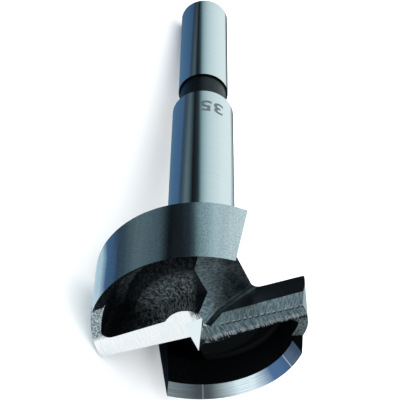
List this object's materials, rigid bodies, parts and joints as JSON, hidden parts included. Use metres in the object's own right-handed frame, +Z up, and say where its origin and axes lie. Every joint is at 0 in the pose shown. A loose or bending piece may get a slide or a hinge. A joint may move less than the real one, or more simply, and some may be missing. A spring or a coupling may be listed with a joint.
{
  "type": "forstner bit",
  "caption": "Forstner bit lying on its side: cylindrical cutting head with a ground rim, straight lifters, chip throats and a centre spur, on a stepped round shank.",
  "frame": {"origin": "middle of the bounding box's underside, on the surface that the bit lies on", "axes": "+Y along the shank, from the spur to the chuck end, as seen from above; +Z up; the bit's axis dips 7.6 degrees towards the chuck end"},
  "size_m": [0.035, 0.0948, 0.0337],
  "materials": {
    "tool_steel": "ground bright on the outside diameters and cutting faces, dark forged skin in the pockets"
  },
  "bodies": {
    "root": {"forstner_bit": "tool_steel"}
  },
  "joints": []
}
